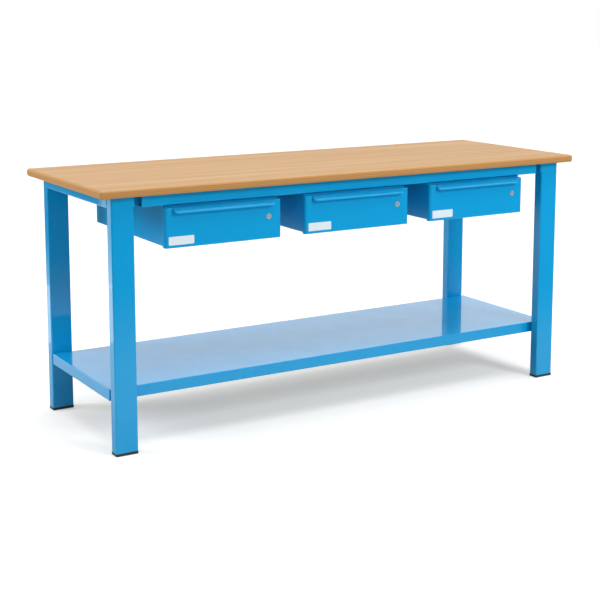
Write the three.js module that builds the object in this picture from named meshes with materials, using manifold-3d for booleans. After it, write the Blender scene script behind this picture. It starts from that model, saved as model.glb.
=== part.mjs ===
// Steel workbench with a wooden worktop, a lower shelf and a row of lockable drawers.
// Millimetres, +Z up. X runs along the bench and -Y points to the user.
// The origin lies on the floor under the middle of the worktop.

import * as THREE from 'three';
import { mergeVertices } from 'three/addons/utils/BufferGeometryUtils.js';
import Module from 'manifold-3d';

const wasm = await Module();
wasm.setup();

// Overall size
const benchLength = 2000;
const benchDepth = 700;
const benchHeight = 900;

// Worktop
const topThickness = 28;
const topEdgeRadius = 7;
const topEdgeSteps = 4;

// Legs of rectangular tube, set in from the worktop's edges
const sideOverhang = 50;
const frontOverhang = 35;
const legWidth = 80;
const legDepth = 40;
const tubeWall = 2;
const tubeRadius = 4;
const tubeCornerSteps = 3;

// Foot caps, with a plug inside the leg
const footHeight = 10;
const footPlugHeight = 22;
const footPlugGap = 0.3;

// Crossbars between the two legs of one end
const topBarWidth = 40;
const topBarHeight = 40;
const lowBarWidth = 40;
const lowBarHeight = 30;

// Shelf, a sheet folded down and hemmed on all four sides
const shelfHeight = 220;
const shelfFold = 40;
const shelfHem = 15;
const shelfSheet = 1.5;
const shelfLegGap = 10;
const shelfNotchGap = 1;

// Hat section under the shelf
const hatWidth = 44;
const hatDepth = 28;
const hatSlope = 5;
const hatFlange = 16;
const hatEndGap = 2;

// Rails along the bench under the worktop
const railHeight = 40;
const railDepth = 30;
const railLip = 9;
const railSheet = 2;
const railEndGap = 28;

// Angle brackets that hold the rails to the legs
const bracketSheet = 4;
const bracketReach = 70;
const bracketMargin = 4;

// Row of drawers between the legs
const drawerCount = 3;
const drawerGap = 96;
const drawerEndGap = 105;
const sheet = 1.5;

// Drawer front, a shallow folded pan
const frontHeight = 136;
const frontFold = 18;
const frontTopGap = 9;
const frontProud = 8;
const frontCornerRadius = 2;
const frontPlateMargin = 1;

// Drawer housing, a sleeve that hangs from both rails
const housingSideInset = 4.5;
const housingFrontGap = 3;
const housingRise = 4;
const housingLip = 15;
const housingCatch = 17;
const housingRearGap = 38;
const hangTabWidth = 300;
const hangTabReach = 20;

// Telescopic slide: nested channels, each a clearance apart
const slideThickness = 12.7;
const slideHeight = 45;
const slideSheet = 1.2;
const slideGap = 0.4;
const slideFlange = 9.5;
const slideFrontSetback = 12;
const slideRearSetback = 67;
const slideRise = 48;

// Drawer tray
const traySheet = 1.2;
const trayHeight = 103;
const trayFloorGap = 6;
const trayRearGap = 37;

// Pull, a hood along the front's upper edge
const pullEndInset = 30;
const pullTopDrop = 1;
const pullDepth = 17;
const pullRim = 8;
const pullFlange = 20;
const pullRadius = 10;
const pullSheet = 1.5;
const pullCornerSteps = 5;

// Lock: a sleeve in the front, a plug that turns in it and a cam behind it
const lockSideInset = 51;
const lockDrop = 58;
const lockSleeveRadius = 8;
const lockFlangeRadius = 10;
const lockFlangeHeight = 2;
const lockPlugRadius = 5.5;
const lockPlugProud = 0.6;
const lockClearance = 0.3;
const lockSides = 24;
const keywayLength = 7;
const keywayWidth = 1.4;
const keywayDepth = 2;
const camSheet = 2.5;
const camPlay = 1;
const camCatch = 9;
const camHubRadius = 9;
const camTipRadius = 6;
const camSides = 8;

// Levels and planes that follow from the sizes above
const topUnderside = benchHeight - topThickness;
const legOuterX = benchLength / 2 - sideOverhang;
const legInnerX = legOuterX - legWidth;
const legOuterY = benchDepth / 2 - frontOverhang;
const legInnerY = legOuterY - legDepth;
const railBottom = topUnderside - railHeight;
const railInnerY = legOuterY - railDepth;
const shelfUnderside = shelfHeight - shelfSheet;
const lowBarX = (legOuterX + legInnerX) / 2;

const frontWidth = (2 * legInnerX - 2 * drawerEndGap - (drawerCount - 1) * drawerGap) / drawerCount;
const frontY = -legOuterY - frontProud;
const frontBackY = frontY + frontFold;
const frontTop = railBottom - frontTopGap;
const frontBottom = frontTop - frontHeight;

const housingWidth = frontWidth - 2 * housingSideInset;
const housingInnerX = housingWidth / 2 - sheet;
const housingFrontY = frontBackY + housingFrontGap;
const housingRearY = legOuterY - housingRearGap;
const housingBottom = frontBottom + housingRise;
const housingUnderTop = railBottom - sheet;
const catchBottom = railBottom - housingCatch;

const trayBottom = housingBottom + trayFloorGap;
const trayTop = trayBottom + trayHeight;
const trayOuterX = housingInnerX - slideThickness;
const trayRearY = housingRearY - trayRearGap;
const frontPlateBackY = frontBackY + traySheet;

const slideMiddle = trayBottom + slideRise;
const slideFrontY = housingFrontY + slideFrontSetback;
const slideRearY = housingRearY - slideRearSetback;

const lockX = frontWidth / 2 - lockSideInset;
const lockZ = frontTop - lockDrop;
const camY = housingFrontY + sheet + camPlay;
const camLength = catchBottom + camCatch - lockZ;

// Finishes
const bluePaint = new THREE.MeshStandardMaterial({ color: 0x0a8fd2, roughness: 0.35, metalness: 0.1 });
const beech = new THREE.MeshStandardMaterial({ color: 0xd2a878, roughness: 0.5, metalness: 0 });
const blackPlastic = new THREE.MeshStandardMaterial({ color: 0x22262b, roughness: 0.6, metalness: 0 });
const zincSteel = new THREE.MeshStandardMaterial({ color: 0xb4b8bc, roughness: 0.4, metalness: 0.9 });
const chrome = new THREE.MeshStandardMaterial({ color: 0xd8dadc, roughness: 0.15, metalness: 1 });

// Joining and cutting closed shapes
function toSolid(geometry) {
  const bare = geometry.clone();
  bare.deleteAttribute('normal');
  bare.deleteAttribute('uv');
  const merged = mergeVertices(bare);
  return new wasm.Manifold(new wasm.Mesh({
    numProp: 3,
    vertProperties: merged.attributes.position.array,
    triVerts: Uint32Array.from(merged.index.array),
  }));
}

function toGeometry(solid) {
  const mesh = solid.getMesh();
  const geometry = new THREE.BufferGeometry();
  geometry.setAttribute('position', new THREE.BufferAttribute(mesh.vertProperties, 3));
  geometry.setIndex(new THREE.BufferAttribute(mesh.triVerts, 1));
  geometry.computeVertexNormals();
  return geometry;
}

function join(first, ...others) {
  return toGeometry(others.reduce((whole, part) => whole.add(toSolid(part)), toSolid(first)));
}

function cut(first, ...tools) {
  return toGeometry(tools.reduce((whole, tool) => whole.subtract(toSolid(tool)), toSolid(first)));
}

// A block between two values on each axis
function block([x0, x1], [y0, y1], [z0, z1]) {
  const geometry = new THREE.BoxGeometry(x1 - x0, y1 - y0, z1 - z0);
  return geometry.translate((x0 + x1) / 2, (y0 + y1) / 2, (z0 + z1) / 2);
}

function centred(width) {
  return [-width / 2, width / 2];
}

// A bar of one section along an axis. The section is drawn in (Y, Z), (X, Z) or (X, Y).
const sectionFrames = {
  x: [new THREE.Vector3(0, 1, 0), new THREE.Vector3(0, 0, 1), new THREE.Vector3(1, 0, 0)],
  y: [new THREE.Vector3(1, 0, 0), new THREE.Vector3(0, 0, 1), new THREE.Vector3(0, -1, 0)],
  z: [new THREE.Vector3(1, 0, 0), new THREE.Vector3(0, 1, 0), new THREE.Vector3(0, 0, 1)],
};

function bar(axis, section, [from, to], curveSegments = tubeCornerSteps) {
  const geometry = new THREE.ExtrudeGeometry(section, {
    depth: to - from,
    bevelEnabled: false,
    curveSegments,
  });
  const along = sectionFrames[axis][2];
  const start = along[axis] > 0 ? from : to;
  geometry.applyMatrix4(new THREE.Matrix4().makeBasis(...sectionFrames[axis]));
  const offset = new THREE.Vector3();
  offset[axis] = start;
  return geometry.translate(offset.x, offset.y, offset.z);
}

// A rectangle with round corners, given by its two spans
function roundRectangle([x0, x1], [y0, y1], radius, outline = new THREE.Shape()) {
  outline.absarc(x1 - radius, y0 + radius, radius, -Math.PI / 2, 0);
  outline.absarc(x1 - radius, y1 - radius, radius, 0, Math.PI / 2);
  outline.absarc(x0 + radius, y1 - radius, radius, Math.PI / 2, Math.PI);
  outline.absarc(x0 + radius, y0 + radius, radius, Math.PI, Math.PI * 1.5);
  outline.closePath();
  return outline;
}

// A rectangular tube's section
function tubeSection([x0, x1], [y0, y1]) {
  const section = roundRectangle([x0, x1], [y0, y1], tubeRadius);
  const bore = roundRectangle(
    [x0 + tubeWall, x1 - tubeWall],
    [y0 + tubeWall, y1 - tubeWall],
    tubeRadius - tubeWall,
    new THREE.Path(),
  );
  section.holes.push(bore);
  return section;
}

// A bent sheet's section: points on one face, with the other face to their left
function sheetSection(points, thickness) {
  const face = points.map(([x, y]) => new THREE.Vector2(x, y));
  const normals = face.slice(1).map((point, i) => {
    const run = point.clone().sub(face[i]).normalize();
    return new THREE.Vector2(-run.y, run.x);
  });
  const back = face.map((point, i) => {
    const before = normals[Math.max(i - 1, 0)];
    const after = normals[Math.min(i, normals.length - 1)];
    const mitre = before.clone().add(after).divideScalar(1 + before.dot(after));
    return point.clone().addScaledVector(mitre, thickness);
  });
  return new THREE.Shape([...face, ...back.reverse()]);
}

const bench = new THREE.Group();

function place(group, name, geometry, material) {
  const mesh = new THREE.Mesh(geometry, material);
  mesh.name = name;
  group.add(mesh);
}

// Worktop with a round edge all round
function worktop() {
  const [x, y] = [benchLength / 2, benchDepth / 2];
  const outline = new THREE.Shape([
    new THREE.Vector2(-x, -y),
    new THREE.Vector2(x, -y),
    new THREE.Vector2(x, y),
    new THREE.Vector2(-x, y),
  ]);
  const geometry = new THREE.ExtrudeGeometry(outline, {
    depth: topThickness - 2 * topEdgeRadius,
    bevelThickness: topEdgeRadius,
    bevelSize: topEdgeRadius,
    bevelOffset: -topEdgeRadius,
    bevelSegments: topEdgeSteps,
  });
  return geometry.translate(0, 0, topUnderside + topEdgeRadius);
}

// The span from the inner to the outer plane, on the side of the given sign
function spanOn(sign, inner, outer) {
  return sign > 0 ? [inner, outer] : [-outer, -inner];
}

function leg(sideX, sideY) {
  const spanX = spanOn(sideX, legInnerX, legOuterX);
  const spanY = spanOn(sideY, legInnerY, legOuterY);
  return bar('z', tubeSection(spanX, spanY), [footHeight, topUnderside]);
}

function foot(sideX, sideY) {
  const spanX = spanOn(sideX, legInnerX, legOuterX);
  const spanY = spanOn(sideY, legInnerY, legOuterY);
  const inset = tubeWall + footPlugGap;
  const plugX = [spanX[0] + inset, spanX[1] - inset];
  const plugY = [spanY[0] + inset, spanY[1] - inset];
  const plugRadius = tubeRadius - tubeWall;
  return join(
    bar('z', roundRectangle(spanX, spanY, tubeRadius), [0, footHeight]),
    bar('z', roundRectangle(plugX, plugY, plugRadius), [0, footHeight + footPlugHeight]),
  );
}

function topCrossbar(sideX) {
  const spanX = spanOn(sideX, legOuterX - topBarWidth, legOuterX);
  const spanZ = [topUnderside - topBarHeight, topUnderside];
  return bar('y', tubeSection(spanX, spanZ), [-legInnerY, legInnerY]);
}

function lowCrossbar(sideX) {
  const spanX = spanOn(sideX, lowBarX - lowBarWidth / 2, lowBarX + lowBarWidth / 2);
  const spanZ = [shelfUnderside - lowBarHeight, shelfUnderside];
  return bar('y', tubeSection(spanX, spanZ), [-legInnerY, legInnerY]);
}

// Shelf, notched at both long sides where the low crossbars pass through
function shelf() {
  const shelfY = legInnerY - shelfLegGap;
  const foldBottom = shelfHeight - shelfFold;
  const insideX = centred(2 * (legOuterX - shelfSheet));
  const insideY = centred(2 * (shelfY - shelfSheet));
  const mouthX = centred(2 * (legOuterX - shelfHem));
  const mouthY = centred(2 * (shelfY - shelfHem));
  const tools = [
    block(insideX, insideY, [foldBottom + shelfSheet, shelfUnderside]),
    block(mouthX, mouthY, [foldBottom - shelfSheet, foldBottom + 2 * shelfSheet]),
  ];
  const notchHalf = lowBarWidth / 2 + shelfNotchGap;
  for (const sideX of [-1, 1]) {
    const notchX = spanOn(sideX, lowBarX - notchHalf, lowBarX + notchHalf);
    tools.push(block(notchX, centred(2 * legInnerY), [foldBottom - shelfSheet, shelfUnderside]));
  }
  return cut(block(centred(2 * legOuterX), centred(2 * shelfY), [foldBottom, shelfHeight]), ...tools);
}

function shelfStiffener() {
  const bottom = shelfUnderside - hatDepth;
  const brim = hatWidth / 2 + hatSlope;
  const section = sheetSection([
    [brim + hatFlange, shelfUnderside],
    [brim, shelfUnderside],
    [hatWidth / 2, bottom],
    [-hatWidth / 2, bottom],
    [-brim, shelfUnderside],
    [-brim - hatFlange, shelfUnderside],
  ], shelfSheet);
  const endX = lowBarX - lowBarWidth / 2 - hatEndGap;
  return bar('x', section, [-endX, endX]);
}

// Rail of lipped channel, with its back to the outside of the bench
function rail(sideY) {
  const outer = sideY * legOuterY;
  const inner = sideY * railInnerY;
  const section = sheetSection([
    [inner, railBottom + railLip],
    [inner, railBottom],
    [outer, railBottom],
    [outer, topUnderside],
    [inner, topUnderside],
    [inner, topUnderside - railLip],
  ], sideY * railSheet);
  const endX = legInnerX - railEndGap;
  return bar('x', section, [-endX, endX]);
}

// Angle bracket: one leaf on the leg's inner face, the other on the rail's lips
function railBracket(sideX, sideY) {
  const lipY = sideY * railInnerY;
  const section = sheetSection([
    [sideX * legInnerX, sideY * (legOuterY - bracketMargin)],
    [sideX * legInnerX, lipY - sideY * bracketSheet],
    [sideX * (legInnerX - bracketReach), lipY - sideY * bracketSheet],
  ], sideX * sideY * -bracketSheet);
  return bar('z', section, [railBottom + railSheet, topUnderside - railSheet]);
}

// Drawer housing: top, sides and bottom lips in one fold, a lip for the lock and a tab to hang by
function housing() {
  const half = housingWidth / 2;
  const sleeve = bar('y', sheetSection([
    [half - housingLip, housingBottom],
    [half, housingBottom],
    [half, railBottom],
    [-half, railBottom],
    [-half, housingBottom],
    [housingLip - half, housingBottom],
  ], sheet), [housingFrontY, housingRearY]);
  const catchLip = block(
    centred(2 * housingInnerX),
    [housingFrontY, housingFrontY + sheet],
    [catchBottom, railBottom],
  );
  const tab = block(
    centred(hangTabWidth),
    [housingRearY - sheet, railInnerY + hangTabReach],
    [housingUnderTop, railBottom],
  );
  return join(sleeve, catchLip, tab);
}

// One channel of a slide: its web's outer face and its flanges' ends, measured from the housing's wall
function slideChannel(sideX, webFace, flangeEnd, halfHeight) {
  const webX = sideX * (housingInnerX - webFace);
  const endX = sideX * (housingInnerX - flangeEnd);
  const section = sheetSection([
    [endX, slideMiddle - halfHeight],
    [webX, slideMiddle - halfHeight],
    [webX, slideMiddle + halfHeight],
    [endX, slideMiddle + halfHeight],
  ], Math.sign(webX - endX) * slideSheet);
  return bar('y', section, [slideFrontY, slideRearY]);
}

function slideMembers(sideX) {
  const step = slideSheet + slideGap;
  const half = slideHeight / 2;
  return {
    outer: slideChannel(sideX, 0, slideFlange, half),
    middle: slideChannel(sideX, step, slideThickness - step, half - step),
    inner: slideChannel(sideX, slideThickness, 2 * step + slideSheet, half - 2 * step),
  };
}

// A round bar across the front at the lock's place
function lockRound(radius, [from, to]) {
  const geometry = new THREE.CylinderGeometry(radius, radius, to - from, lockSides);
  return geometry.translate(lockX, (from + to) / 2, lockZ);
}

// The round way through the front for the lock
function lockBore() {
  return lockRound(lockSleeveRadius + lockClearance, [frontY - frontFold, frontBackY + frontFold]);
}

// Tray of folded sheet, open at the top and at the front, where the drawer front's plate closes it
function tray() {
  return cut(
    block(centred(2 * trayOuterX), [frontPlateBackY, trayRearY], [trayBottom, trayTop]),
    block(
      centred(2 * (trayOuterX - traySheet)),
      [frontBackY, trayRearY - traySheet],
      [trayBottom + traySheet, trayTop + traySheet],
    ),
  );
}

// Drawer front: a folded pan, closed at the back by a plate, with the lock's bore through both
function drawerFront() {
  const spanZ = [frontBottom, frontTop];
  const pan = bar('y', roundRectangle(centred(frontWidth), spanZ, frontCornerRadius), [frontY, frontBackY]);
  const hollow = block(
    centred(frontWidth - 2 * sheet - frontCornerRadius),
    [frontY + sheet, frontBackY + sheet],
    [frontBottom + sheet + frontCornerRadius / 2, frontTop - sheet - frontCornerRadius / 2],
  );
  const plate = block(
    centred(frontWidth - 2 * frontPlateMargin),
    [frontBackY - sheet, frontPlateBackY],
    [frontBottom + frontPlateMargin, frontTop - frontPlateMargin],
  );
  return cut(join(cut(pan, hollow), plate), lockBore());
}

// Pull: a hood with a rim at its front and ends, on a flange against the drawer front
function pull() {
  const halfX = frontWidth / 2 - pullEndInset;
  const top = frontTop - pullTopDrop;
  const hoodZ = [top - pullRim, top];
  const deep = pullDepth + pullRadius;
  const outline = roundRectangle([-halfX, halfX], [frontY - pullDepth, frontY + pullRadius], pullRadius);
  const inside = roundRectangle(
    [pullSheet - halfX, halfX - pullSheet],
    [frontY - pullDepth + pullSheet, frontY + pullRadius],
    pullRadius - pullSheet,
  );
  const hood = cut(
    bar('z', outline, hoodZ, pullCornerSteps),
    bar('z', inside, [top - pullRim - pullSheet, top - pullSheet], pullCornerSteps),
    block(centred(4 * halfX), [frontY, frontY + deep], [top - 2 * pullRim, top + pullRim]),
  );
  const flangeOutline = roundRectangle([-halfX, halfX], [top - pullFlange, top + pullFlange], pullRadius);
  const flange = cut(
    bar('y', flangeOutline, [frontY - pullSheet, frontY], pullCornerSteps),
    block(centred(4 * halfX), [frontY - deep, frontY + deep], [top, top + 2 * pullFlange]),
  );
  return join(hood, flange);
}

// Lock sleeve with a flange on the drawer front
function lockSleeve() {
  return cut(
    join(
      lockRound(lockFlangeRadius, [frontY - lockFlangeHeight, frontY]),
      lockRound(lockSleeveRadius, [frontY - lockFlangeHeight, camY - lockClearance]),
    ),
    lockRound(lockPlugRadius + lockClearance, [frontY - frontFold, camY + frontFold]),
  );
}

function lockPlug() {
  const faceY = frontY - lockFlangeHeight - lockPlugProud;
  const keyway = block(
    [lockX - keywayWidth / 2, lockX + keywayWidth / 2],
    [faceY - keywayDepth, faceY + keywayDepth],
    [lockZ - keywayLength / 2, lockZ + keywayLength / 2],
  );
  return cut(lockRound(lockPlugRadius, [faceY, camY]), keyway);
}

// Cam, lying towards the drawer's middle while the lock is open
function lockCam() {
  const tipX = lockX - camLength + camTipRadius;
  const section = new THREE.Shape();
  section.absarc(lockX, lockZ, camHubRadius, -Math.PI / 2, Math.PI / 2);
  section.absarc(tipX, lockZ, camTipRadius, Math.PI / 2, Math.PI * 1.5);
  section.closePath();
  return bar('y', section, [camY, camY + camSheet], camSides);
}

// Frame
place(bench, 'worktop', worktop(), beech);
for (const [sideName, sideX] of [['left', -1], ['right', 1]]) {
  for (const [endName, sideY] of [['front', -1], ['rear', 1]]) {
    place(bench, `leg_${endName}_${sideName}`, leg(sideX, sideY), bluePaint);
    place(bench, `foot_${endName}_${sideName}`, foot(sideX, sideY), blackPlastic);
    place(bench, `rail_bracket_${endName}_${sideName}`, railBracket(sideX, sideY), bluePaint);
  }
  place(bench, `crossbar_top_${sideName}`, topCrossbar(sideX), bluePaint);
  place(bench, `crossbar_low_${sideName}`, lowCrossbar(sideX), bluePaint);
}
place(bench, 'rail_front', rail(-1), bluePaint);
place(bench, 'rail_rear', rail(1), bluePaint);
place(bench, 'shelf', shelf(), bluePaint);
place(bench, 'shelf_stiffener', shelfStiffener(), bluePaint);

// Drawers, from left to right
for (let i = 0; i < drawerCount; i += 1) {
  const unit = new THREE.Group();
  unit.position.x = (i - (drawerCount - 1) / 2) * (frontWidth + drawerGap);
  const drawer = `drawer_${i + 1}`;
  place(unit, `${drawer}_housing`, housing(), bluePaint);
  place(unit, `${drawer}_tray`, tray(), zincSteel);
  place(unit, `${drawer}_front`, drawerFront(), bluePaint);
  place(unit, `${drawer}_pull`, pull(), bluePaint);
  place(unit, `${drawer}_lock_sleeve`, lockSleeve(), chrome);
  place(unit, `${drawer}_lock_plug`, lockPlug(), chrome);
  place(unit, `${drawer}_lock_cam`, lockCam(), zincSteel);
  for (const [sideName, sideX] of [['left', -1], ['right', 1]]) {
    for (const [member, geometry] of Object.entries(slideMembers(sideX))) {
      place(unit, `${drawer}_slide_${member}_${sideName}`, geometry, zincSteel);
    }
  }
  bench.add(unit);
}

export default bench;
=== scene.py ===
import bpy
import bmesh
import math
from mathutils import Matrix, Vector


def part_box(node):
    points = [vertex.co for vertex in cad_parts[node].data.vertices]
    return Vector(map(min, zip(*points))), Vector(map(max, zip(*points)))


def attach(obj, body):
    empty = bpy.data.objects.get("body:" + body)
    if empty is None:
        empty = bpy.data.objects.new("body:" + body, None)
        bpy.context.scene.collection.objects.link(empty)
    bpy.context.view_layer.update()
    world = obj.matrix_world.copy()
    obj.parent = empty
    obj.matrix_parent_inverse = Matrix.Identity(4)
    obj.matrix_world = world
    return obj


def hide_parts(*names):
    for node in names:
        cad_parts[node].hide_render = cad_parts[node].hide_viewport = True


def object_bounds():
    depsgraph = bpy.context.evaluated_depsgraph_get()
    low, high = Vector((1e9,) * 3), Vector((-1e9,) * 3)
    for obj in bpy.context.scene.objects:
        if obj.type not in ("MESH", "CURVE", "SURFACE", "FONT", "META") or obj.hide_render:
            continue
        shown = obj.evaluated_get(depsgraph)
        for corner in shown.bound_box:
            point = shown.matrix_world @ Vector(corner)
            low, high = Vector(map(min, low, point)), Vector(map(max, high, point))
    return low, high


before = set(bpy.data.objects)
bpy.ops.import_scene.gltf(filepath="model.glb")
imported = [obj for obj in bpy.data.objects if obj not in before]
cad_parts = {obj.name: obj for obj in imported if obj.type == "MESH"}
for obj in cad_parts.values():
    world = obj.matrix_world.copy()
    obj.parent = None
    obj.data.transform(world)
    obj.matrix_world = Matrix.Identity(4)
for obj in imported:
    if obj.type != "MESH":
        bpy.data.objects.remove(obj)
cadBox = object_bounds()
mm = 0.001
alongX, alongY, alongZ = range(3)
sides = ("left", "right")
rows = {"front": 1, "rear": -1}  # the way inward from each row, along Y
drawerNumbers = (1, 2, 3)


# Camera at the photograph's place, in metres and degrees
cameraView = {"location": (-2.5614, -4.1858, 1.4858), "lensMm": 78.1, "sensorMm": 36, "tilt": 81.49,
              "turn": -30.96, "shift": -1 / 6}


def makeCamera():
    data = bpy.data.cameras.new("camera")
    data.sensor_width = cameraView["sensorMm"]
    data.lens = cameraView["lensMm"]
    data.shift_y = cameraView["shift"]
    camera = bpy.data.objects.new("camera", data)
    camera.location = cameraView["location"]
    camera.rotation_euler = (math.radians(cameraView["tilt"]), 0, math.radians(cameraView["turn"]))
    bpy.context.scene.collection.objects.link(camera)
    bpy.context.scene.camera = camera


makeCamera()
print("camera placed")


# sRGB hex to the linear colour that shader sockets take
def linear(hexColour, alpha=1.0):
    channels = [int(hexColour[i:i + 2], 16) / 255 for i in (1, 3, 5)]
    return [c / 12.92 if c <= 0.04045 else ((c + 0.055) / 1.055) ** 2.4 for c in channels] + [alpha]


# One node with its settings, and its inputs as values or as links from other nodes' sockets
# A Mix node takes numbers at inputs 2 and 3 and gives output 0, colours at 6 and 7 and gives output 2
def addNode(tree, kind, inputs=None, **settings):
    node = tree.nodes.new(kind)
    for name, value in settings.items():
        setattr(node, name, value)
    for name, value in (inputs or {}).items():
        if isinstance(value, bpy.types.NodeSocket):
            tree.links.new(value, node.inputs[name])
        else:
            node.inputs[name].default_value = value
    return node


# World: a white room, which painted faces mirror as bright behind the bench and dim on the camera's side
room = {
    "white": "#ffffff",
    "fill": 0.36,
    "mirrorBack": 1.15,
    "mirrorFront": 0.14,
    "mirrorHigh": 0.5,
    "turnY": (-0.3, 0.2),  # where the room's front turns into its back
    "turnZ": (0.3, 0.6),  # where its wall turns into its ceiling
}


def makeRoom():
    world = bpy.data.worlds.new("studio")
    bpy.context.scene.world = world
    world.use_nodes = True
    tree = world.node_tree
    tree.nodes.clear()
    path = addNode(tree, "ShaderNodeLightPath")
    coords = addNode(tree, "ShaderNodeTexCoord")
    split = addNode(tree, "ShaderNodeSeparateXYZ", {"Vector": coords.outputs["Generated"]})
    wall = addNode(tree, "ShaderNodeMapRange", {
        "Value": split.outputs["Y"], "From Min": room["turnY"][0], "From Max": room["turnY"][1],
        "To Min": room["mirrorFront"], "To Max": room["mirrorBack"]})
    ceiling = addNode(tree, "ShaderNodeMapRange", {
        "Value": split.outputs["Z"], "From Min": room["turnZ"][0], "From Max": room["turnZ"][1],
        "To Min": 1.0, "To Max": room["mirrorHigh"]})
    mirrored = addNode(tree, "ShaderNodeMath", {
        0: wall.outputs["Result"], 1: ceiling.outputs["Result"]}, operation="MULTIPLY")
    fill = addNode(tree, "ShaderNodeMix", {
        "Factor": path.outputs["Is Glossy Ray"], 2: room["fill"], 3: mirrored.outputs[0]})
    seen = addNode(tree, "ShaderNodeMix", {
        "Factor": path.outputs["Is Camera Ray"], 2: fill.outputs[0], 3: 1.0})
    back = addNode(tree, "ShaderNodeBackground", {
        "Color": linear(room["white"]), "Strength": seen.outputs[0]})
    addNode(tree, "ShaderNodeOutputWorld", {"Surface": back.outputs["Background"]})


# A wide soft sun from overhead, and soft boxes: place, aim, width and height in metres, power in watts,
# and whether each lights matt surfaces and is mirrored in glossy ones
sunLamp = {"power": 2.1, "angle": 55, "place": (0, 0, 3), "heading": (-0.1, 0.08, -1.0)}
softBoxes = {
    "keyBox": {"place": (1.8, -4.6, 3.1), "aim": (0, 0, 0.55), "size": (1.5, 1.5), "power": 126,
               "matt": True, "mirrored": False},
    "sideBox": {"place": (-5.0, 2.0, 2.7), "aim": (-0.8, 0, 0.4), "size": (1.8, 1.8), "power": 125,
                "matt": True, "mirrored": False},
    "lowCard": {"place": (-1.57, 1.0, 0.14), "aim": (-0.95, -0.01, 0.14), "size": (1.8, 0.26),
                "power": 1.5, "matt": False, "mirrored": True},
    "legCard": {"place": (-1.49, 1.0, 0.485), "aim": (-0.95, -0.3, 0.485), "size": (0.08, 0.43),
                "power": 0.11, "matt": False, "mirrored": True},
    "frontCard": {"place": (2.2, -3.4, 2.9), "aim": (0, -0.3, 0.8), "size": (3.0, 1.4), "power": 26,
                  "matt": False, "mirrored": True},
}


def aimLamp(name, kind, place, aim):
    lamp = bpy.data.lights.new(name, kind)
    holder = bpy.data.objects.new(name, lamp)
    holder.location = place
    holder.rotation_euler = (Vector(aim) - Vector(place)).to_track_quat("-Z", "Y").to_euler()
    bpy.context.scene.collection.objects.link(holder)
    return lamp, holder


def makeLamps():
    place = Vector(sunLamp["place"])
    sun, _ = aimLamp("sun", "SUN", place, place + Vector(sunLamp["heading"]))
    sun.energy = sunLamp["power"]
    sun.angle = math.radians(sunLamp["angle"])
    for name, box in softBoxes.items():
        lamp, holder = aimLamp(name, "AREA", box["place"], box["aim"])
        lamp.shape = "RECTANGLE"
        lamp.size, lamp.size_y = box["size"]
        lamp.energy = box["power"]
        holder.visible_diffuse = box["matt"]
        holder.visible_glossy = box["mirrored"]


# Floor: matt paper, lifted to white for the camera so that the bench's shadow stays on it
# In reflections a patch round the centre and the far end behind the bench are bright, and the rest is dark
floorPaper = {
    "size": 60.0,
    "seen": "#dadee4",
    "bounce": "#cbc7c2",
    "glow": "#fff6e1",
    "lift": 0.40,
    "centre": (-0.5, 0.7, 0.0),
    "patch": (1.6, 3.6),  # metres from the centre, over which the patch fades out
    "farEnd": (5.0, 9.0),  # metres behind the bench, over which the far end fades in
    "shine": 1.0,
    "dark": 0.05,
}


def makeFloorPaper():
    material = bpy.data.materials.new("white floor paper")
    material.use_nodes = True
    tree = material.node_tree
    tree.nodes.clear()
    path = addNode(tree, "ShaderNodeLightPath")
    coords = addNode(tree, "ShaderNodeTexCoord")
    reach = addNode(tree, "ShaderNodeVectorMath", {
        0: coords.outputs["Object"], 1: floorPaper["centre"]}, operation="DISTANCE")
    patch = addNode(tree, "ShaderNodeMapRange", {
        "Value": reach.outputs["Value"], "From Min": floorPaper["patch"][0],
        "From Max": floorPaper["patch"][1], "To Min": floorPaper["shine"], "To Max": floorPaper["dark"]},
        interpolation_type="SMOOTHSTEP")
    split = addNode(tree, "ShaderNodeSeparateXYZ", {"Vector": coords.outputs["Object"]})
    farEnd = addNode(tree, "ShaderNodeMapRange", {
        "Value": split.outputs["Y"], "From Min": floorPaper["farEnd"][0],
        "From Max": floorPaper["farEnd"][1], "To Min": 0.0, "To Max": floorPaper["shine"]},
        interpolation_type="SMOOTHSTEP")
    shine = addNode(tree, "ShaderNodeMath", {
        0: patch.outputs["Result"], 1: farEnd.outputs["Result"]}, operation="MAXIMUM")
    dim = addNode(tree, "ShaderNodeMix", {
        "Factor": path.outputs["Is Glossy Ray"], 2: 1.0, 3: shine.outputs[0]})
    paper = addNode(tree, "ShaderNodeMix", {
        "Factor": path.outputs["Is Camera Ray"], 6: linear(floorPaper["bounce"]),
        7: linear(floorPaper["seen"])}, data_type="RGBA")
    shade = addNode(tree, "ShaderNodeVectorMath", {
        0: paper.outputs[2], "Scale": dim.outputs[0]}, operation="SCALE")
    matt = addNode(tree, "ShaderNodeBsdfDiffuse", {"Color": shade.outputs["Vector"]})
    lift = addNode(tree, "ShaderNodeMath", {
        0: path.outputs["Is Camera Ray"], 1: floorPaper["lift"]}, operation="MULTIPLY")
    glow = addNode(tree, "ShaderNodeEmission", {
        "Color": linear(floorPaper["glow"]), "Strength": lift.outputs[0]})
    both = addNode(tree, "ShaderNodeAddShader", {0: matt.outputs[0], 1: glow.outputs[0]})
    addNode(tree, "ShaderNodeOutputMaterial", {"Surface": both.outputs[0]})
    return material


def makeFloor():
    bm = bmesh.new()
    bmesh.ops.create_grid(bm, x_segments=1, y_segments=1, size=floorPaper["size"] / 2)
    data = bpy.data.meshes.new("floor")
    bm.to_mesh(data)
    bm.free()
    data.materials.append(makeFloorPaper())
    floor = bpy.data.objects.new("floor", data)
    floor.location.z = cadBox[0].z
    bpy.context.scene.collection.objects.link(floor)


makeRoom()
makeLamps()
makeFloor()
bpy.context.scene.view_settings.view_transform = "Standard"
print("studio lit")


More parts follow.
